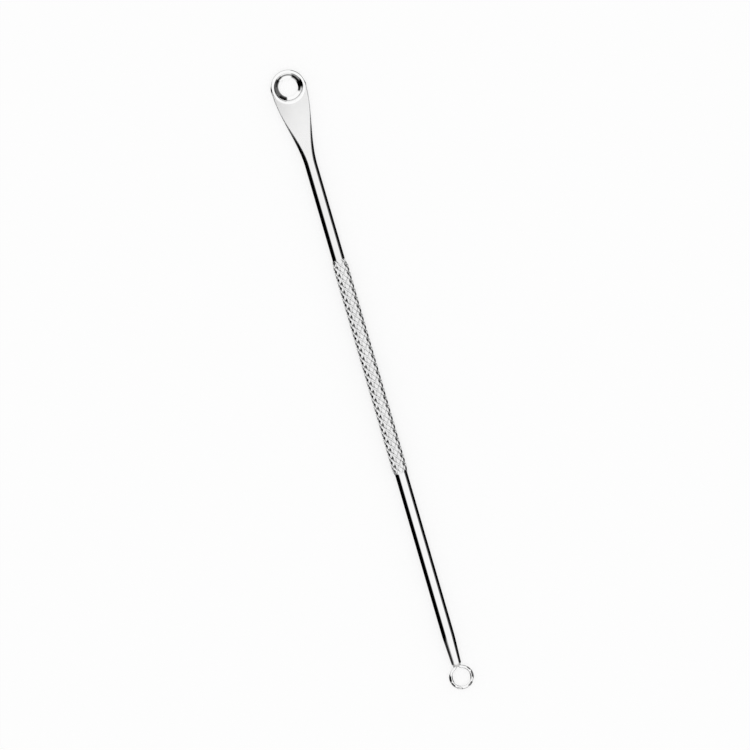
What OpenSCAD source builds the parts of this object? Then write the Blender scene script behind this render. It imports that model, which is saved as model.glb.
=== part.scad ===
// Blackhead extractor: a knurled grip with a drilled spoon at one end and a wire loop at the other.
// The tool lies along X with the spoon at +X, the hollow of the spoon faces +Z,
// and the origin is on the tool's axis, halfway along its length. Millimetres.

/* [Grip] */
// Length of the knurled grip
grip_l = 43.1; // [30:0.1:60]
// Diameter over the crests of the knurl
grip_d = 3.0; // [2.8:0.05:4]
// Distance along the grip between two pads that stand in one line
knurl_pitch = 1.675; // [1.4:0.005:2.4]
// Number of pads round the grip, which is the number of grooves of each hand
knurl_starts = 6; // [5:1:10]
// Depth of the grooves where two of them cross
knurl_depth = 0.28; // [0.15:0.01:0.3]
// Height by which the middle of a pad stands above its rim
pad_crown = 0.09; // [0.02:0.01:0.1]
// Share of the way from a pad's middle to the groove that its rim reaches
pad_reach = 0.52; // [0.45:0.01:0.85]
// Length of the run-in at each end of the grip
run_in_l = 1.2; // [0.6:0.1:2.5]
// Depth of the run-in at the end face
run_in_h = 0.22; // [0.05:0.01:0.24]

/* [Stems] */
// Diameter of the two plain stems
stem_d = 2.5; // [2.3:0.05:2.7]
// Diameter of the tangs that go into the grip
tang_d = 1.6; // [1.2:0.05:1.8]
// Length of the tangs
tang_l = 9; // [6:0.5:12]
// Chamfer on the end of each tang
tang_chamfer = 0.25; // [0.1:0.05:0.4]
// Gap between a tang and its bore, all round
tang_gap = 0.01; // [0:0.005:0.03]
// Room between the end of a tang and the bottom of its bore
tang_room = 0.4; // [0.1:0.1:1]

/* [Spoon] */
// Distance from the grip to the tip of the spoon
spoon_reach = 38.4; // [34:0.1:55]
// Diameter of the round head over its lip
cup_d = 7.0; // [6.2:0.1:8]
// Diameter of the hole through the head
hole_d = 3.7; // [2.6:0.1:4]
// Slope of the hollow beside the hole, in degrees
hollow_in = 31; // [26:1:38]
// Slope of the hollow where it runs into the lip, in degrees
hollow_out = 44; // [40:1:50]
// Thickness of the sheet in the hollow
dish_wall = 0.45; // [0.35:0.05:0.55]
// Thickness of the rounded lip
lip_d = 0.9; // [0.85:0.05:1.1]
// Height of the middle of the lip above the tool's axis
lip_z = 0.05; // [0:0.01:0.08]
// Thickness of the forged blade beside the head
blade_t = 0.74; // [0.5:0.02:0.76]
// Distance by which the lip stands out beyond the edges of the blade
lip_proud = 0.06; // [0.04:0.01:0.12]
// Length over which the stem widens into the blade, up to the middle of the head
flare_l = 15.8; // [12:0.1:20]
// Length over which the stem thins into the blade
forge_l = 11.5; // [8:0.1:12]

/* [Loop] */
// Distance from the grip to the far end of the loop
loop_reach = 43.5; // [36:0.1:60]
// Outer diameter of the loop
loop_d = 4.8; // [4.2:0.1:7]
// Diameter of the wire
wire_d = 0.7; // [0.5:0.05:0.75]
// Sideways shift of the loop from the tool's axis
loop_shift = 0.25; // [0:0.05:0.4]
// Radius of the two bends that open the legs into the loop, at the wire's middle
bend_r = 0.6; // [0.45:0.05:1]
// Straight stretch of wire between the nose and the bends
wire_out = 0.12; // [0.05:0.01:0.5]
// Length of the wire's legs inside the nose
leg_l = 4; // [2.5:0.5:6]
// Gap between the two legs
leg_gap = 0.06; // [0.03:0.01:0.12]
// Solder round the legs, between wire and bore
solder_t = 0.02; // [0.01:0.01:0.05]
// Length over which the stem tapers to the nose
nose_l = 5.4; // [2:0.1:8]
// Diameter of the nose at its mouth
nose_d = 1.95; // [1.85:0.05:2.2]
// Rounding of the nose's edge
nose_round = 0.08; // [0.04:0.01:0.1]
// Width of the solder bead on the mouth
bead_d = 1.7; // [1.66:0.01:1.68]
// Height of the solder bead
bead_h = 0.5; // [0.3:0.05:0.7]

/* [Hidden] */
$fn = 48;

// Stations along the tool, all from the three lengths that make it up
total_l = grip_l + spoon_reach + loop_reach;
tip_x = total_l/2;
grip_front_x = tip_x - spoon_reach;
grip_back_x = grip_front_x - grip_l;
stem_r = stem_d/2;
drill_tip = 59; // half the angle of a drill's point

// Knurl: whole rows of pads fill the grip, and each row is turned by half a pad
rows = round(2*grip_l/knurl_pitch);
row_h = grip_l/rows;
pad_turn = 360/knurl_starts;
knurl_turn = 270 % (pad_turn/2) - pad_turn/4; // the tool lies on two lines of pads, and doesn't roll
crest_r = grip_d/2;
root_r = crest_r - knurl_depth;
corner_reach = pad_reach - 0.08; // the rim is drawn in at the corners, which rounds the pad

// Spoon: the hollow's wall is an arc from the hole out and up, which runs smoothly into the lip
cup_r = cup_d/2;
cup_x = tip_x - cup_r;
lip_r = lip_d/2;
lip_mid_r = cup_r - lip_r;
hollow_r = (lip_mid_r - lip_r*sin(hollow_out) - hole_d/2)/(sin(hollow_out) - sin(hollow_in));
hollow_mid = [hole_d/2 - hollow_r*sin(hollow_in), lip_z + (lip_r + hollow_r)*cos(hollow_out)];
shell_r = hollow_r + dish_wall;
lip_floor_z = lip_z - lip_r;
flare_x = cup_x - flare_l;
arc_steps = 10;
flare_steps = 34;
edge_steps = 10;
root_len = 0.3; // stretch of the blade that is buried in the end of the stem
root_gap = 0.01; // how far it lies under the stem's surface there

// Loop: one circle, and two bends of the other hand that bring the wire in to its legs
wire_r = wire_d/2;
ring_r = loop_d/2 - wire_r;
ring_x = loop_d/2 - tip_x;
leg_y = wire_r + leg_gap/2;
bore_r = leg_y + wire_r + solder_t;
bend_y = leg_y + bend_r;
nose_x = ring_x + max(bend_dx(1), bend_dx(-1)) + wire_out;
leg_end_x = nose_x + leg_l;
bore_room = 0.3; // solder beyond the ends of the legs
lap_turn = 2; // angle by which each bend runs on into the end of the ring
leg_r = wire_r - 0.005; // so the bends and legs end a hair inside the ring's wire

// The sideways and lengthwise distance from the loop's middle to the middle of a bend
function bend_dy(side) = bend_y + side*loop_shift;
function bend_dx(side) = sqrt(pow(ring_r + bend_r, 2) - pow(bend_dy(side), 2));
function bend_angle(side) = atan2(bend_dy(side), bend_dx(side));

function smooth_step(u) = let (v = min(max(u, 0), 1)) v*v*(3 - 2*v);
function arc(mid, r, from, to, steps) =
    [for (i = [0:steps]) let (a = from + (to - from)*i/steps) mid + r*[cos(a), sin(a)]];

// Turns a shape that was made about Z so that its axis lies along X
module along_x(x) {
    translate([x, 0, 0]) rotate([0, 90, 0]) children();
}

// Joins closed rings of equally many points into one skin with flat ends
module skin(rings) {
    n = len(rings[0]);
    last = len(rings) - 1;
    sides = [for (k = [0:last - 1]) for (i = [0:n - 1])
        let (j = (i + 1) % n) [k*n + i, (k + 1)*n + i, (k + 1)*n + j, k*n + j]];
    polyhedron([for (ring = rings) for (p = ring) p],
        concat([[for (i = [0:n - 1]) i]], sides, [[for (i = [0:n - 1]) last*n + n - 1 - i]]));
}

// A point of the grip's skin, cut back where the run-in is lower
function grip_point(along, turn, r) =
    let (end = min(along, grip_l - along),
         roof = crest_r - run_in_h*max(0, 1 - end/run_in_l),
         used = min(r, roof),
         a = turn + knurl_turn)
    [grip_back_x + along, used*cos(a), used*sin(a)];

// The eight directions from a pad's middle to its corners and to the middles of its sides,
// as shares of half a pad round the grip and of a whole row along it
pad_ways = [[1, 0], [0.5, 0.5], [0, 1], [-0.5, 0.5], [-1, 0], [-0.5, -0.5], [0, -1], [0.5, -0.5]];

// Pads stand in rows round the grip. Row k has pads whose grooves cross in rows k-1, k and k+1.
module knurl_body() {
    n = knurl_starts;
    odd = function(k) k % 2;
    crossings = [for (k = [0:rows]) for (i = [0:n - 1])
        grip_point(k*row_h, (i + odd(k)/2)*pad_turn, root_r)];
    grooves = [for (k = [0:rows - 1]) for (m = [0:2*n - 1])
        grip_point((k + 0.5)*row_h, (2*m + 1)*pad_turn/4, root_r)];
    pads = [for (k = [0:rows]) for (i = [0:n - 1])
        let (along = k*row_h, turn = (i + 0.5 + odd(k)/2)*pad_turn)
        for (j = [0:8])
            let (way = j < 8 ? pad_ways[j]*(j % 2 == 0 ? corner_reach : pad_reach) : [0, 0])
            grip_point(min(max(along + way[1]*row_h, 0), grip_l), turn + way[0]*pad_turn/2,
                crest_r - (j < 8 ? pad_crown : 0))];
    groove_0 = len(crossings);
    pad_0 = groove_0 + len(grooves);
    crossing = function(k, i) k*n + i % n;
    groove = function(k, m) groove_0 + k*2*n + m % (2*n);
    rim = function(k, i, j) pad_0 + (k*n + i)*9 + j % 8;
    top = function(k, i) pad_0 + (k*n + i)*9 + 8;
    foot = function(k, i, j)
        let (o = odd(k))
        j == 0 || j == 8 ? crossing(k, i + 1) :
        j == 1 ? groove(k, 2*i + 1 + o) :
        j == 2 ? crossing(k + 1, i + o) :
        j == 3 ? groove(k, 2*i + o) :
        j == 4 ? crossing(k, i) :
        j == 5 ? groove(k - 1, 2*i + o) :
        j == 6 ? crossing(k - 1, i + o) : groove(k - 1, 2*i + 1 + o);
    // The first and the last row have half pads only, up to the end face
    pad_faces = [for (k = [0:rows]) for (i = [0:n - 1])
        for (j = [0:7]) if ((k > 0 || j < 4) && (k < rows || j >= 4))
            each [[top(k, i), rim(k, i, j), rim(k, i, j + 1)],
                [rim(k, i, j), foot(k, i, j), foot(k, i, j + 1)],
                [rim(k, i, j), foot(k, i, j + 1), rim(k, i, j + 1)]]];
    end_loop = function(k) [for (i = [0:n - 1])
        each [crossing(k, i), rim(k, i, 4), top(k, i), rim(k, i, 0)]];
    front = end_loop(rows);
    back = end_loop(0);
    polyhedron(concat(crossings, grooves, pads),
        concat(pad_faces, [back], [[for (i = [0:len(front) - 1]) front[len(front) - 1 - i]]]));
}

// A blind hole along X from x, drilled in the direction dir, with a drill's point at its end
module drilled(x, dir, r, depth) {
    over = 1;
    translate([x - dir*over, 0, 0]) rotate([0, dir*90, 0]) {
        cylinder(r = r, h = depth + over);
        translate([0, 0, depth + over]) cylinder(r1 = r, r2 = 0, h = r/tan(drill_tip));
    }
}

module knurled_grip() {
    hole_r = tang_d/2 + tang_gap;
    color("silver") difference() {
        knurl_body();
        drilled(grip_front_x, -1, hole_r, tang_l + tang_room);
        drilled(grip_back_x, 1, hole_r, tang_l + tang_room);
    }
}

// A plain tang along X, from its shoulder at x, in the direction dir
module tang(x, dir) {
    buried = 0.5;
    translate([x - dir*buried, 0, 0]) rotate([0, dir*90, 0]) {
        cylinder(d = tang_d, h = tang_l + buried - tang_chamfer);
        translate([0, 0, tang_l + buried - tang_chamfer])
            cylinder(r1 = tang_d/2, r2 = tang_d/2 - tang_chamfer, h = tang_chamfer);
    }
}

function blade_half_w(x) =
    stem_r + (cup_r - lip_proud - stem_r)*smooth_step((x - flare_x)/flare_l);
function blade_half_t(x) =
    stem_r + (blade_t/2 - stem_r)*smooth_step((x - flare_x)/forge_l);

// A cross-section of the blade: two flats between two round edges
function blade_ring(x, w, t) = [for (side = [1, -1]) each [for (i = [0:edge_steps])
    let (a = -side*90 + side*(side > 0 ? 1 : -1)*180*i/edge_steps)
    [x, side*(w - t) + t*cos(a), t*sin(a)]]];

module blade() {
    flat = 0.02; // the round stem still has a trace of the flats
    start = stem_r - root_gap;
    difference() {
        skin(concat(
            [blade_ring(flare_x - root_len, start - root_gap, start - root_gap - flat),
             blade_ring(flare_x, start, start - flat)],
            [for (k = [1:flare_steps])
                let (x = flare_x + flare_l*k/flare_steps)
                blade_ring(x, blade_half_w(x), blade_half_t(x))]));
        translate([cup_x, 0, -stem_d]) cylinder(r = lip_mid_r - lip_r/3, h = 2*stem_d);
    }
}

// The lip, the hollow, the bulge under it and the hole, as one turned ring
module cup() {
    shell_top = asin((lip_floor_z - hollow_mid[1])/shell_r);
    shell_end = -acos((hole_d/2 - hollow_mid[0])/shell_r);
    translate([cup_x, 0, 0]) rotate_extrude($fn = 96) polygon(concat(
        arc(hollow_mid, hollow_r, hollow_in - 90, hollow_out - 90, arc_steps),
        arc([lip_mid_r, lip_z], lip_r, 90 + hollow_out, -90, 2*arc_steps),
        arc(hollow_mid, shell_r, shell_top, shell_end, arc_steps)));
}

module spoon_stem() {
    color("gainsboro") union() {
        along_x(grip_front_x) cylinder(r = stem_r, h = flare_x - grip_front_x);
        tang(grip_front_x, -1);
        blade();
        cup();
    }
}

module loop_stem() {
    taper_x = nose_x + nose_l;
    nose_r = nose_d/2;
    color("gainsboro") union() {
        difference() {
            along_x(0) rotate_extrude() polygon(concat(
                [[0, grip_back_x], [stem_r, grip_back_x], [stem_r, taper_x]],
                arc([nose_r - nose_round, nose_x + nose_round], nose_round, 0, -90, 6),
                [[0, nose_x]]));
            drilled(nose_x, 1, bore_r, leg_l + bore_room);
        }
        tang(grip_back_x, 1);
    }
}

// A bent stretch of the wire: part of a ring about a point of the plane of the loop
module wire_arc(mid, r, thick_r, from, to) {
    translate([mid[0], mid[1], 0]) rotate([0, 0, from])
        rotate_extrude(angle = to - from, $fn = 64) translate([r, 0]) circle(r = thick_r, $fn = 24);
}

module wire() {
    union() {
        wire_arc([ring_x, -loop_shift], ring_r, wire_r, bend_angle(1), 360 - bend_angle(-1));
        for (side = [1, -1]) {
            bend_x = ring_x + bend_dx(side);
            turn = bend_angle(side) - lap_turn;
            wire_arc([bend_x, side*bend_y], bend_r, leg_r,
                side > 0 ? 180 + turn : 90, side > 0 ? 270 : 180 - turn);
            translate([bend_x, side*leg_y, 0]) rotate([0, 90, 0])
                cylinder(r = leg_r, h = leg_end_x - bend_x, $fn = 24);
        }
    }
}

module wire_loop() {
    color("whitesmoke") wire();
}

// Silver solder: it fills the bore round the legs and closes the mouth with a bead
module loop_solder() {
    color("lightgray") difference() {
        union() {
            along_x(nose_x) cylinder(r = bore_r, h = leg_l + bore_room);
            along_x(nose_x) rotate_extrude() polygon(concat([[0, 0]],
                [for (i = [0:arc_steps]) let (a = 90*i/arc_steps) [bead_d/2*cos(a), -bead_h*sin(a)]]));
        }
        wire();
    }
}

knurled_grip();
spoon_stem();
loop_stem();
wire_loop();
loop_solder();
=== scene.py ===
import math

import bmesh
import bpy
from mathutils import Matrix, Vector


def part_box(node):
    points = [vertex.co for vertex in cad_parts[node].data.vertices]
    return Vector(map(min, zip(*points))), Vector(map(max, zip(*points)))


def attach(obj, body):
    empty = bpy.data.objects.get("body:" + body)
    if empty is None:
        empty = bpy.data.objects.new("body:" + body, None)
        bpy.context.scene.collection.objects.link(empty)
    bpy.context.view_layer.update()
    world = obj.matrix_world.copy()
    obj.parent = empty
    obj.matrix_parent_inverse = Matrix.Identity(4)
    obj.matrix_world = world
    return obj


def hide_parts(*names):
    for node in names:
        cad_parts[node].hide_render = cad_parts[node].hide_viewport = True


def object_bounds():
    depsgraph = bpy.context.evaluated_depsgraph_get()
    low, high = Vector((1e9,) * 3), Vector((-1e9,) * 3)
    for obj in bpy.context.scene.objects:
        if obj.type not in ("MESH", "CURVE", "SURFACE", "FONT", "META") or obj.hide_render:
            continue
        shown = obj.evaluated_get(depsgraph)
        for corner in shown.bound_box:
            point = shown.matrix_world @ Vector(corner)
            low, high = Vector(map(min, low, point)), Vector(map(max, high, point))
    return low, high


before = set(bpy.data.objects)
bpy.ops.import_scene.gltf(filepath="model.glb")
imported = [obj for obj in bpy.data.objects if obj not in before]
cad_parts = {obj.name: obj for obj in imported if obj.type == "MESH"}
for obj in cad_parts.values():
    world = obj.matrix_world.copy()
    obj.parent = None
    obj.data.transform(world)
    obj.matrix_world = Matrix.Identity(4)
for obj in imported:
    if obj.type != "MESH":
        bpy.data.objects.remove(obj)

scene = bpy.context.scene
mm = 0.001
cadBox = [list(corner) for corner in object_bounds()]
gripBack, gripFront = (corner.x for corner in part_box("knurled_grip"))
loopX = cadBox[0][0]


def smoothStep(share):
    v = min(max(share, 0.0), 1.0)
    return v * v * (3 - 2 * v)


def mix(a, b, share):
    return a + (b - a) * share


# Points of an arc in the plane of a turned profile: (distance from the axis, place along it)
def arcPoints(middle, radius, start, end, steps):
    return [
        (middle[0] + radius * math.cos(a), middle[1] + radius * math.sin(a))
        for a in (math.radians(mix(start, end, i / steps)) for i in range(steps + 1))
    ]


# An object from its finished bmesh
def meshObject(name, bm, material):
    mesh = bpy.data.meshes.new(name)
    bm.to_mesh(mesh)
    bm.free()
    mesh.materials.append(material)
    made = bpy.data.objects.new(name, mesh)
    scene.collection.objects.link(made)
    return made


# A piece of the tool, in the tool's own frame
def makePiece(name, bm, material, node, sharpAngle=35, weld=0.002 * mm):
    bmesh.ops.remove_doubles(bm, verts=bm.verts, dist=weld)
    bmesh.ops.recalc_face_normals(bm, faces=bm.faces)
    piece = meshObject(name, bm, material)
    piece.data.shade_smooth()
    piece.data.set_sharp_from_angle(angle=math.radians(sharpAngle))
    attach(piece, "root")
    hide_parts(node)
    print(f"{name}: {len(piece.data.polygons)} faces")
    return piece


# A closed skin over a grid of `along` by `around` cells: place(u, v) gives the point at shares u and v of the
# way, the sides of the grid meet, and its ends are filled
def wrapGrid(along, around, place, weld=0.001 * mm):
    bm = bmesh.new()
    bmesh.ops.create_grid(bm, x_segments=along, y_segments=around, size=0.5)
    for vert in bm.verts:
        vert.co = place(vert.co.x + 0.5, vert.co.y + 0.5)
    bmesh.ops.remove_doubles(bm, verts=bm.verts, dist=weld)
    bmesh.ops.holes_fill(bm, edges=[e for e in bm.edges if e.is_boundary], sides=0)
    return bm


# A closed profile of (distance from the axis, place along it), spun about X or Z
def turnProfile(profile, axis, centre, steps):
    bm = bmesh.new()
    if axis == "x":
        places = [Vector((a, r, 0)) for r, a in profile]
    else:
        places = [Vector((r, 0, a)) for r, a in profile]
    verts = [bm.verts.new(centre + place) for place in places]
    edges = [bm.edges.new(pair) for pair in zip(verts, verts[1:] + verts[:1])]
    bmesh.ops.spin(
        bm, geom=verts + edges, cent=centre, dvec=(0, 0, 0), angle=math.tau, steps=steps,
        axis=(1, 0, 0) if axis == "x" else (0, 0, 1), use_merge=True, use_duplicate=False)
    return bm


# Shader maths: a socket of a node tree that can be added, multiplied and so on
class Flow:
    def __init__(self, tree, socket=None):
        self.tree, self.socket = tree, socket

    def node(self, kind, settings=None, inputs=None, output=0):
        made = self.tree.nodes.new(kind)
        for key, value in (settings or {}).items():
            setattr(made, key, value)
        for key, value in (inputs or {}).items():
            if isinstance(value, Flow):
                self.tree.links.new(value.socket, made.inputs[key])
            else:
                made.inputs[key].default_value = value
        return Flow(self.tree, made.outputs[output])

    def maths(self, operation, *values, clamp=False):
        return self.node(
            "ShaderNodeMath", {"operation": operation, "use_clamp": clamp}, dict(enumerate(values)))

    def __add__(self, other):
        return self.maths("ADD", self, other)

    def __sub__(self, other):
        return self.maths("SUBTRACT", self, other)

    def __rsub__(self, other):
        return self.maths("SUBTRACT", other, self)

    def __mul__(self, other):
        return self.maths("MULTIPLY", self, other)

    def __truediv__(self, other):
        return self.maths("DIVIDE", self, other)

    def __pow__(self, other):
        return self.maths("POWER", self, other)

    __radd__, __rmul__ = __add__, __mul__

    def greater(self, other):
        return self.maths("MAXIMUM", self, other)

    def parts(self):
        made = self.tree.nodes.new("ShaderNodeSeparateXYZ")
        self.tree.links.new(self.socket, made.inputs[0])
        return [Flow(self.tree, output) for output in made.outputs]

    # 0 below low, 1 above high
    def ramp(self, low, high):
        return self.maths("ADD", (self - low) / (high - low), 0, clamp=True)

    def colour(self, tint=(1, 1, 1)):
        return self.node("ShaderNodeCombineColor", {"mode": "RGB"}, {i: self * tint[i] for i in range(3)})


# An empty material: its tree, and the surface socket that its shader goes to
def newMaterial(name):
    material = bpy.data.materials.new(name)
    material.use_nodes = True
    tree = material.node_tree
    tree.nodes.clear()
    output = tree.nodes.new("ShaderNodeOutputMaterial")
    return material, Flow(tree), output.inputs["Surface"]


print("stage")

studio = {
    "photoSize": 750,  # pixels
    "pixelsPerMm": 5.158,
    "toolCentre": (373.5, 379.6),  # the tool's origin in the photograph, in pixels
    "lean": 16.243,  # degrees by which the tool leans in the photograph, anticlockwise from upright
    "cameraHeight": 0.8,
    "sensor": 36.0,
    "ambient": 0.62,  # what the surroundings give to matt surfaces
    "softboxSize": 0.9,
    "softboxHeight": 1.1,
    "softboxPower": 2.55,
    "floorZ": -1.5 * mm,  # the crests of the knurl lie on it
    "floorSize": 3.0,
    "floorColour": 0.42,
    "floorGlow": 0.65,
}

lean = math.radians(studio["lean"])
imageUp = Vector((math.cos(lean), -math.sin(lean), 0))
imageRight = Vector((-math.sin(lean), -math.cos(lean), 0))
middle = studio["photoSize"] / 2
offset = [(middle - c) / studio["pixelsPerMm"] * mm for c in studio["toolCentre"]]
aim = imageRight * offset[0] - imageUp * offset[1]
camera = bpy.data.objects.new("camera", bpy.data.cameras.new("camera"))
camera.data.sensor_width = studio["sensor"]
frameWidth = studio["photoSize"] / studio["pixelsPerMm"] * mm
camera.data.lens = studio["sensor"] * studio["cameraHeight"] / frameWidth
camera.matrix_world = Matrix.Translation(aim + Vector((0, 0, studio["cameraHeight"]))) @ Matrix(
    (imageRight, imageUp, Vector((0, 0, 1)))).transposed().to_4x4()
scene.collection.objects.link(camera)
scene.camera = camera
scene.view_settings.view_transform = "Standard"


# Two values: 1 for the camera's own rays, and 1 for every ray that looks at the surroundings as they are,
# from the camera or by way of metal or glass
def lookRays(flow):
    path = flow.tree.nodes.new("ShaderNodeLightPath")
    direct, glossy, clear = (
        Flow(flow.tree, path.outputs[name])
        for name in ("Is Camera Ray", "Is Glossy Ray", "Is Transmission Ray"))
    return direct, direct.greater(glossy).greater(clear)


world = bpy.data.worlds.new("studio")
scene.world = world
world.use_nodes = True
world.node_tree.nodes.clear()
sky = Flow(world.node_tree)
_, looks = lookRays(sky)
background = sky.node("ShaderNodeBackground", None, {
    "Color": (1, 1, 1, 1), "Strength": looks * (1 - studio["ambient"]) + studio["ambient"]})
skyOut = world.node_tree.nodes.new("ShaderNodeOutputWorld")
world.node_tree.links.new(background.socket, skyOut.inputs["Surface"])

softbox = bpy.data.objects.new("softbox", bpy.data.lights.new("softbox", "AREA"))
softbox.data.size = studio["softboxSize"]
softbox.data.energy = studio["softboxPower"]
softbox.location = (0, 0, studio["softboxHeight"])
softbox.visible_glossy = False  # the metal mirrors the dome only
scene.collection.objects.link(softbox)

floorPaint, flow, surface = newMaterial("floorPaint")
direct, looks = lookRays(flow)
matt = flow.node("ShaderNodeBsdfDiffuse", None, {
    "Color": (studio["floorColour"],) * 3 + (1,)})
glow = flow.node("ShaderNodeEmission", None, {
    "Color": (1, 1, 1, 1), "Strength": direct * (studio["floorGlow"] - 1) + looks})
both = flow.node("ShaderNodeAddShader", None, {0: matt, 1: glow})
flow.tree.links.new(both.socket, surface)
bm = bmesh.new()
bmesh.ops.create_grid(bm, x_segments=1, y_segments=1, size=studio["floorSize"] / 2)
bmesh.ops.translate(bm, verts=bm.verts, vec=(0, 0, studio["floorZ"]))
floor = meshObject("floor", bm, floorPaint)
floor.visible_glossy = False

# The studio's dark panels are soft patches on a white dome that only the metal sees: they draw its dark
# edges. Directions are in degrees anticlockwise from the tool's right side, with the spoon up, and heights in
# degrees from the horizon. A patch fades over its soft edge.
panels = {
    "domeRadius": 2.0,
    "domeFineness": 5,
    "patches": {
        "left": {"direction": 177, "halfWide": 18, "low": -50, "high": 50, "soft": 13, "grey": 0.0},
        "leftShelf": {"direction": 188, "halfWide": 47, "low": 11, "high": 27, "soft": 9, "grey": 0.0},
        "leftSmear": {"direction": 202, "halfWide": 38, "low": -1, "high": 14, "soft": 10, "grey": 0.42},
        "leftLow": {"direction": 215, "halfWide": 35, "low": -24, "high": -5, "soft": 10, "grey": 0.1},
        "right": {"direction": -8, "halfWide": 20, "low": -89, "high": 6, "soft": 10, "grey": 0.0},
        "rightShelf": {"direction": 10, "halfWide": 58, "low": 2, "high": 26, "soft": 5, "grey": 0.13},
        "rightTail": {"direction": -50, "halfWide": 20, "low": 10, "high": 22, "soft": 8, "grey": 0.1},
        "rightEnd": {"direction": 52, "halfWide": 18, "low": 3, "high": 18, "soft": 6, "grey": 0.05},
        "dishTop": {"direction": 270, "halfWide": 80, "low": 12, "high": 20, "soft": 5, "grey": 0.18},
        "horizon": {"direction": 90, "halfWide": 181, "low": -5, "high": 6, "soft": 4, "grey": 0.3},
        "spoonEnd": {"direction": 85, "halfWide": 50, "low": -28, "high": 0, "soft": 16, "grey": 0.6},
        "loopEnd": {"direction": 262, "halfWide": 32, "low": -32, "high": -4, "soft": 8, "grey": 0.3},
    },
}


def domePaint():
    material, flow, surface = newMaterial("domePaint")
    x, y, z = flow.node("ShaderNodeTexCoord", output="Object").parts()
    height = z.maths("ARCTAN2", z, (x * x + y * y) ** 0.5) * math.degrees(1)
    light = 1
    for patch in panels["patches"].values():
        towards = math.radians(patch["direction"])
        ahead = x * math.sin(towards) - y * math.cos(towards)
        beside = x * math.cos(towards) + y * math.sin(towards)
        aside = beside.maths("ABSOLUTE", beside.maths("ARCTAN2", beside, ahead)) * math.degrees(1)
        half = patch["soft"] / 2
        inside = (
            (1 - aside.ramp(patch["halfWide"] - half, patch["halfWide"] + half))
            * height.ramp(patch["low"] - half, patch["low"] + half)
            * (1 - height.ramp(patch["high"] - half, patch["high"] + half)))
        light = (1 - inside * (1 - patch["grey"])) * light
    paint = flow.node("ShaderNodeEmission", None, {"Color": light.colour(), "Strength": 1.0})
    flow.tree.links.new(paint.socket, surface)
    return material


bm = bmesh.new()
bmesh.ops.create_icosphere(bm, subdivisions=panels["domeFineness"], radius=panels["domeRadius"])
dome = meshObject("dome", bm, domePaint())
dome.data.shade_smooth()
dome.visible_camera = dome.visible_diffuse = dome.visible_shadow = dome.visible_transmission = False


print("metals")

# The noise in every metal's finish
grain = {
    "streakDetail": 3.0, "streakRoughness": 0.6,
    "cloudDetail": 2.0, "cloudRoughness": 0.5, "wearFrom": 0.35, "wearTo": 0.7,
    "bumpDistance": 0.01 * mm,
}


# Metal with a fine finish: base colour, roughness and bump all come from noise on the piece's own place, and
# finish(place, tone, rough) may change the first two. The scales of a look count waves per mm.
def metal(name, look, finish=None):
    material, flow, surface = newMaterial(name)
    place = flow.node("ShaderNodeTexCoord", output="Object")
    streaks = place.node("ShaderNodeMapping", {"vector_type": "POINT"}, {
        "Vector": place, "Scale": [scale / mm for scale in look["streakScale"]]})
    streak = streaks.node("ShaderNodeTexNoise", None, {
        "Vector": streaks, "Scale": 1.0,
        "Detail": grain["streakDetail"], "Roughness": grain["streakRoughness"]})
    cloud = place.node("ShaderNodeTexNoise", None, {
        "Vector": place, "Scale": look["cloudScale"] / mm,
        "Detail": grain["cloudDetail"], "Roughness": grain["cloudRoughness"]})
    wear = cloud.ramp(grain["wearFrom"], grain["wearTo"])
    tone = wear * look["toneSpread"] + (look["tone"] - look["toneSpread"])
    rough = wear * look["roughSpread"] + streak * look["roughSpread"] + look["rough"]
    if finish:
        tone, rough = finish(place, tone, rough)
    bump = streak.node("ShaderNodeBump", None, {
        "Height": streak, "Strength": look["bump"], "Distance": grain["bumpDistance"]})
    shader = flow.node("ShaderNodeBsdfPrincipled", None, {
        "Base Color": tone.colour(look["tint"]), "Metallic": 1.0, "Roughness": rough, "Normal": bump})
    flow.tree.links.new(shader.socket, surface)
    return material


polishedLook = {
    "tone": 0.94, "toneSpread": 0.02, "tint": (1.0, 1.0, 1.0),
    "rough": 0.03, "roughSpread": 0.03, "bump": 0.05,
    "streakScale": (9.0, 1.2, 1.2), "cloudScale": 0.25,
}

print("grip")

gripShape = {
    "pads": 6,  # round the grip
    "pitch": 1.675,  # of either hand's grooves along the grip
    "perPad": 17,  # mesh cells along each side of a pad
    "crestR": 1.5, "rootR": 1.2, "rimR": 1.47,
    "crown": 0.004,  # how much lower a pad is beside a groove than in its middle
    "hands": ((0.3, 0.24), (0.24, 0.22)),  # depth and half width of each hand's grooves, the width in pitches
    "flank": 1.2,  # 1 is a straight flank, more rounds the pads' shoulders off
    "turn": 8.6,  # degrees by which the knurl is turned
    "firstRow": 17,  # mesh cells from the first row of pads to the grip's end
    "runIn": 1.2, "runInDepth": 0.22,  # the grip's ends are turned down by this much over this length
}
gripLook = {
    "tone": 0.9, "toneSpread": 0.05, "tint": (1.0, 1.0, 1.0),
    "rough": 0.06, "roughSpread": 0.05, "bump": 0.12,
    "streakScale": (4.0, 4.0, 4.0), "cloudScale": 0.4,
    "grooveTone": 0.97, "grooveRough": 0.05,
}
cellsPerPitch = 2 * gripShape["perPad"]
gripCells = round((gripFront - gripBack) / mm / gripShape["pitch"] * cellsPerPitch)


# Height of the knurl where a and b count the grooves of either hand
def knurlRadius(a, b):
    g = gripShape
    cut, low = 0.0, 0.0
    for count, (depth, halfWidth) in zip((a, b), g["hands"]):
        gap = abs(count - round(count))
        cut = max(cut, depth * max(0.0, 1 - gap / halfWidth) ** g["flank"])
        low += g["crown"] * (1 - 2 * gap) ** 2
    return g["crestR"] - max(cut, low)


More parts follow.
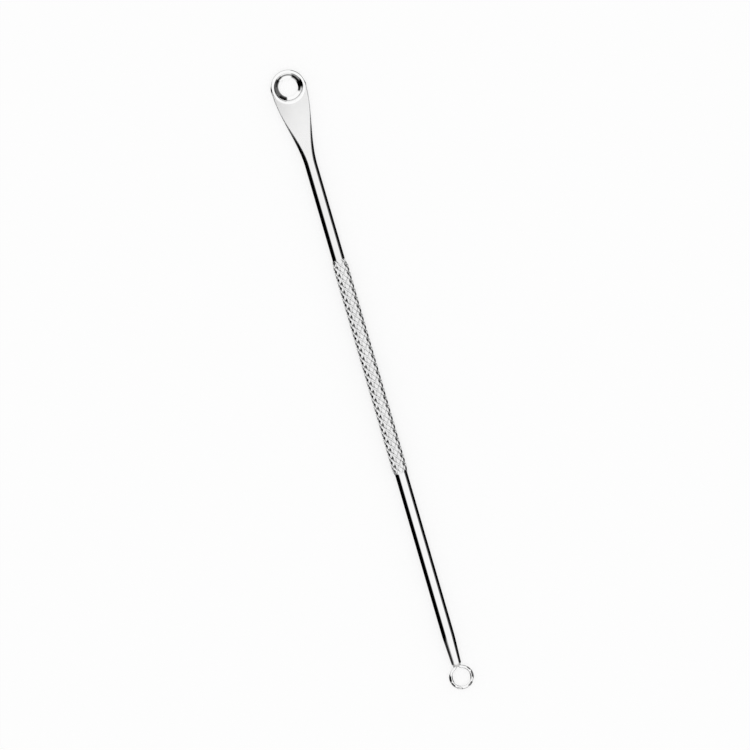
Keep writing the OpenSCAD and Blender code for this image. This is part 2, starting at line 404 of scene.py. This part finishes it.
def gripPoint(u, v):
    g = gripShape
    row = (u * gripCells + g["firstRow"]) / g["perPad"]
    b = v * g["pads"]
    turn = math.tau / g["pads"] * (b + row / 2) + math.radians(g["turn"])
    along = u * (gripFront - gripBack)
    end = min(along, gripFront - gripBack - along) / mm
    roof = g["crestR"] - g["runInDepth"] * max(0.0, 1 - end / g["runIn"])
    radius = min(knurlRadius(b + row, b), roof) * mm
    return Vector((gripBack + along, radius * math.cos(turn), radius * math.sin(turn)))


# The knurl's grooves are rougher than the polished pads, and a little darker towards their roots
def dullGrooves(place, tone, rough):
    _, y, z = place.parts()
    radius = (y * y + z * z) ** 0.5
    groove = 1 - radius.ramp(gripShape["rootR"] * mm, gripShape["rimR"] * mm)
    return tone * (1 - groove * (1 - gripLook["grooveTone"])), rough + groove * gripLook["grooveRough"]


bm = wrapGrid(gripCells, gripShape["pads"] * gripShape["perPad"], gripPoint, 0.002 * mm)
makePiece(
    "knurledGrip", bm, metal("knurlSteel", gripLook, dullGrooves), "knurled_grip",
    sharpAngle=60)

print("spoon")

bladeShape = {
    "stemR": 1.25, "flareX": 43.2, "flareLength": 15.8, "forgeLength": 11.5,
    "endHalfWidth": 3.44, "endHalfThickness": 0.37,
    "cupX": 59.0, "cutR": 2.95,  # the blade ends inside the lip, on this circle
    "edgePower": 0.5, "squareFrom": 49.0, "squareTo": 55.0,  # the edges get squarer towards the head
    "fillet": 0.075, "filletFrom": 4.3, "filletTo": 3.3,  # where the blade rises to the lip
    "cells": 160,  # of the mesh along the blade, and round it
    "edgeWeight": 6.5,  # how much closer the mesh's points lie on the round edges than on the faces
    "stemShare": 0.12,  # of the mesh's rings that lie on the plain stem
}
bladeLook = {
    "tone": 0.9, "toneSpread": 0.03, "tint": (1.0, 0.998, 0.996),
    "rough": 0.04, "roughSpread": 0.04, "bump": 0.08,
    "streakScale": (0.6, 6.0, 6.0), "cloudScale": 0.3,
    "satin": 0.2, "satinFrom": 44.0 * mm, "satinTo": 50.0 * mm,
    "tipSatin": 0.2, "tipFrom": 49.0 * mm, "tipTo": 55.0 * mm,
    # painted shade: one side of the blade is darkened near the head
    "shade": 0.13, "shadeFrom": 49.0 * mm, "shadeTo": 55.0 * mm, "shadeWide": 3.2 * mm,
}


def bladeHalfWidth(x):
    s = bladeShape
    return mix(s["stemR"], s["endHalfWidth"], smoothStep((x - s["flareX"]) / s["flareLength"]))


def bladeHalfThickness(x):
    s = bladeShape
    return mix(s["stemR"], s["endHalfThickness"], smoothStep((x - s["flareX"]) / s["forgeLength"]))


# The place at share v of the way round the blade's section: across, up, and how far out it lies as a share of
# the half width, which counts as 1 on the round edges
def bladeStation(x, v):
    s = bladeShape
    width, thickness = bladeHalfWidth(x), bladeHalfThickness(x)
    flat = width - thickness
    flatShare = flat / (flat + s["edgeWeight"] * thickness)
    quarter = v * 4
    side = 1 if quarter < 2 else -1
    top = 1 if quarter < 1 or quarter > 3 else -1
    q = abs((quarter + 1) % 2 - 1)
    if q < flatShare:
        return side * flat * q / flatShare, top * thickness, q / flatShare * flat / width
    angle = math.pi / 2 * (q - flatShare) / (1 - flatShare)
    power = mix(1, s["edgePower"], smoothStep((x - s["squareFrom"]) / (s["squareTo"] - s["squareFrom"])))
    out, up = (max(share, 0.0) ** power for share in (math.sin(angle), math.cos(angle)))
    return side * (flat + thickness * out), top * thickness * up, 1.0


def bladePoint(u, v):
    s = bladeShape
    if u < s["stemShare"]:
        x = mix(gripFront / mm, s["flareX"], u / s["stemShare"])
    else:
        _, _, reach = bladeStation(s["cupX"], v)
        y = min(reach * s["endHalfWidth"], s["cutR"])
        end = s["cupX"] - math.sqrt(s["cutR"] ** 2 - y ** 2)
        x = mix(s["flareX"], end, (u - s["stemShare"]) / (1 - s["stemShare"]))
    y, z, _ = bladeStation(x, v)
    if u > 0.999:  # the two faces meet inside the lip
        z = 0
    gap = math.hypot(x - s["cupX"], y)
    rise = smoothStep((s["filletFrom"] - gap) / (s["filletFrom"] - s["filletTo"]))
    if z > 0:
        z += s["fillet"] * rise * min(z / s["endHalfThickness"], 1)
    return Vector((x, y, z)) * mm


# The forged faces of the blade are left satin, and the stem behind them is polished. One side of the blade is
# painted a little darker near the head: painted shade.
def satinAndPaintedShadeBlade(place, tone, rough):
    x, y, _ = place.parts()
    forged = x.ramp(bladeLook["satinFrom"], bladeLook["satinTo"])
    tip = x.ramp(bladeLook["tipFrom"], bladeLook["tipTo"])
    # painted shade: one side of the blade is darker near the head
    shaded = x.ramp(bladeLook["shadeFrom"], bladeLook["shadeTo"]) * y.ramp(0, bladeLook["shadeWide"])
    satin = forged * bladeLook["satin"] + tip * bladeLook["tipSatin"]
    return tone * (1 - shaded * bladeLook["shade"]), rough + satin


bm = wrapGrid(bladeShape["cells"], bladeShape["cells"], bladePoint)
makePiece(
    "spoonBlade", bm, metal("bladeSteel", bladeLook, satinAndPaintedShadeBlade), "spoon_stem",
    sharpAngle=50, weld=0.001 * mm)

cupShape = {
    "x": 59.0, "holeR": 1.85, "slopes": (31, 44),  # of the hollow, at the hole and at the lip
    "wall": 0.45, "lipR": 0.45, "lipMiddle": (3.05, 0.05),
    "hollowSteps": 24, "lipSteps": 48, "shellSteps": 16, "around": 160,
}
# The cup is a lighter copy of the polished steel: a painted highlight on the lip
cupLookPaintedBright = dict(polishedLook, tone=0.985)
cup = cupShape
inner, outer = (math.radians(angle) for angle in cup["slopes"])
lipIn = cup["lipMiddle"][0] - cup["lipR"] * math.sin(outer)
hollowR = (lipIn - cup["holeR"]) / (math.sin(outer) - math.sin(inner))
hollowMiddle = (
    cup["holeR"] - hollowR * math.sin(inner),
    cup["lipMiddle"][1] + (cup["lipR"] + hollowR) * math.cos(outer))
shellR = hollowR + cup["wall"]
lipFloor = cup["lipMiddle"][1] - cup["lipR"]
shellEnds = (
    math.degrees(math.asin((lipFloor - hollowMiddle[1]) / shellR)),
    -math.degrees(math.acos((cup["holeR"] - hollowMiddle[0]) / shellR)))
profile = (
    arcPoints(hollowMiddle, hollowR, cup["slopes"][0] - 90, cup["slopes"][1] - 90, cup["hollowSteps"])
    + arcPoints(cup["lipMiddle"], cup["lipR"], 90 + cup["slopes"][1], -90, cup["lipSteps"])[1:]
    + arcPoints(hollowMiddle, shellR, *shellEnds, cup["shellSteps"]))
bm = turnProfile(
    [(r * mm, z * mm) for r, z in profile], "z", Vector((cup["x"] * mm, 0, 0)), cup["around"])
makePiece("spoonCup", bm, metal("cupSteel", cupLookPaintedBright), "spoon_stem", sharpAngle=30)

print("loop")

loopShape = {
    "ringR": 2.05, "ringX": loopX / mm + 2.4, "shift": 0.25, "wireR": 0.35,
    "bendR": 0.6, "legY": 0.38, "legLength": 4.0,
    "wireOut": 0.12,  # straight wire between the nose and the bends
    "around": 64, "cell": 0.09, "arcCells": 1.6,  # mesh cells, with more of them on the arcs
    # Flats that the pliers left on the wire: place round the ring, half length, tilt outwards and half width,
    # all in degrees. Their ends fade.
    "flats": (
        (85, 13, 37, 46), (117, 9, 37, 44), (155, 11, 37, 46),
        (218, 12, 37, 42), (-90, 13, 38, 46), (-55, 7, 37, 32)),
    "fade": 5.0,
}
wireLook = {
    "tone": 0.95, "toneSpread": 0.03, "tint": (1.0, 1.0, 1.0),
    "rough": 0.03, "roughSpread": 0.03, "bump": 0.04,
    "streakScale": (3.0, 3.0, 3.0), "cloudScale": 0.6,
}


# The nose's end, and the wire's middle line: one leg, a bend, round the ring, a bend and the other leg
def loopPath():
    s = loopShape
    bendY = s["legY"] + s["bendR"]
    sides = {}
    for side in (1, -1):
        dy = bendY + side * s["shift"]
        dx = math.sqrt((s["ringR"] + s["bendR"]) ** 2 - dy ** 2)
        sides[side] = (dx, math.atan2(dy, dx))
    nose = s["ringX"] + max(dx for dx, _ in sides.values()) + s["wireOut"]
    path = []

    def line(a, b):
        n = max(2, round(math.dist(a, b) / s["cell"]))
        path.extend((mix(a[0], b[0], i / n), mix(a[1], b[1], i / n)) for i in range(n))

    def arc(centre, radius, start, end):
        n = max(6, round(abs(end - start) * radius / s["cell"] * s["arcCells"]))
        for i in range(n):
            a = mix(start, end, i / n)
            path.append((centre[0] + radius * math.cos(a), centre[1] + radius * math.sin(a)))

    dx, angle = sides[1]
    line((nose + s["legLength"], s["legY"]), (s["ringX"] + dx, s["legY"]))
    arc((s["ringX"] + dx, bendY), s["bendR"], -math.pi / 2, -math.pi + angle)
    arc((s["ringX"], -s["shift"]), s["ringR"], angle, math.tau - sides[-1][1])
    dx, angle = sides[-1]
    arc((s["ringX"] + dx, -bendY), s["bendR"], math.pi - angle, math.pi / 2)
    line((s["ringX"] + dx, -s["legY"]), (nose + s["legLength"], -s["legY"]))
    path.append((nose + s["legLength"], -s["legY"]))
    return nose, path


noseX, wirePath = loopPath()


def wirePoint(u, v):
    s = loopShape
    i = round(u * (len(wirePath) - 1))
    x, y = wirePath[i]
    before, after = wirePath[max(i - 1, 0)], wirePath[min(i + 1, len(wirePath) - 1)]
    tx, ty = after[0] - before[0], after[1] - before[1]
    size = math.hypot(tx, ty)
    turn = math.tau * v
    radius = s["wireR"]
    place = math.atan2(y + s["shift"], x - s["ringX"])
    for middle, halfLength, tilt, half in s["flats"]:
        along = abs(math.degrees(math.remainder(place - math.radians(middle), math.tau)))
        away = math.remainder(turn - math.radians(90 - tilt), math.tau)
        if abs(away) < math.radians(half):
            flat = s["wireR"] * math.cos(math.radians(half)) / math.cos(away)
            radius = mix(radius, flat, smoothStep((halfLength + s["fade"] - along) / s["fade"]))
    out = radius * math.cos(turn)
    return Vector((x + ty / size * out, y - tx / size * out, radius * math.sin(turn))) * mm


bm = wrapGrid(len(wirePath) - 1, loopShape["around"], wirePoint)
makePiece("wireLoop", bm, metal("loopWire", wireLook), "wire_loop")

stemShape = {
    "stemR": 1.25, "coreR": 0.4,  # the inner wall of the mesh, which nothing shows
    "noseLength": 5.4, "noseR": 0.975, "noseRound": 0.08,
    "boreR": 0.75, "boreDepth": 4.3, "boreBevel": 0.02, "coreStep": 0.2,
    "blend": 0.8,  # half length of the soft start of the taper
    "stemSteps": 40, "taperSteps": 12, "roundSteps": 8, "around": 96,
}
s = stemShape
taperX = noseX + s["noseLength"]
slope = (s["stemR"] - s["noseR"]) / s["noseLength"]
profile = [(s["coreR"], gripBack / mm), (s["stemR"], gripBack / mm)]
for i in range(s["stemSteps"] + 1):
    profile.append((s["stemR"], mix(gripBack / mm, taperX + s["blend"], i / s["stemSteps"])))
for i in range(1, s["taperSteps"] + 1):
    t = i / s["taperSteps"]
    profile.append((s["stemR"] - slope * s["blend"] * t * t, taperX + s["blend"] * (1 - 2 * t)))
taperR, taperStart = profile[-1]
for i in range(1, s["taperSteps"]):
    t = i / s["taperSteps"]
    profile.append((mix(taperR, s["noseR"], t), mix(taperStart, noseX + s["noseRound"], t)))
profile += arcPoints(
    (s["noseR"] - s["noseRound"], noseX + s["noseRound"]), s["noseRound"], 0, -90, s["roundSteps"])
profile += [
    (s["boreR"] + s["boreBevel"], noseX), (s["boreR"], noseX + s["boreBevel"]),
    (s["boreR"], noseX + s["boreDepth"]), (s["coreR"], noseX + s["boreDepth"] + s["coreStep"])]
bm = turnProfile([(r * mm, x * mm) for r, x in profile], "x", Vector((0, 0, 0)), s["around"])
makePiece("loopStem", bm, metal("stemSteel", polishedLook), "loop_stem")

solderShape = {
    "beadR": 0.85, "beadHeight": 0.5,
    "creep": 0.1, "creepWidth": 0.12,  # how far the solder rises along the wire, and how wide round it
    "creepRise": 3,  # how soon that sets in from the bead's rim
    "rings": 24, "around": 64,
}
solderLook = {
    "tone": 0.97, "toneSpread": 0.05, "tint": (1.0, 0.995, 0.985),
    "rough": 0.4, "roughSpread": 0.1, "bump": 0.3,
    "streakScale": (2.0, 2.0, 2.0), "cloudScale": 1.2,
}


# A dome over the mouth, which rises a little where the wire comes out of it
def solderPoint(u, v):
    s = solderShape
    angle = math.pi / 2 * (1 - u)
    turn = math.tau * v
    r = s["beadR"] * math.cos(angle)
    y, z = r * math.cos(turn), r * math.sin(turn)
    toWire = min(math.hypot(y - side * loopShape["legY"], z) for side in (1, -1))
    gap = max(toWire - loopShape["wireR"], 0)
    creep = s["creep"] * math.exp(-(gap / s["creepWidth"]) ** 2) * smoothStep((1 - u) * s["creepRise"])
    return Vector((noseX - s["beadHeight"] * math.sin(angle) - creep, y, z)) * mm


bm = wrapGrid(solderShape["rings"], solderShape["around"], solderPoint)
makePiece(
    "solderBead", bm, metal("solderSkin", solderLook), "loop_solder",
    sharpAngle=60, weld=0.001 * mm)
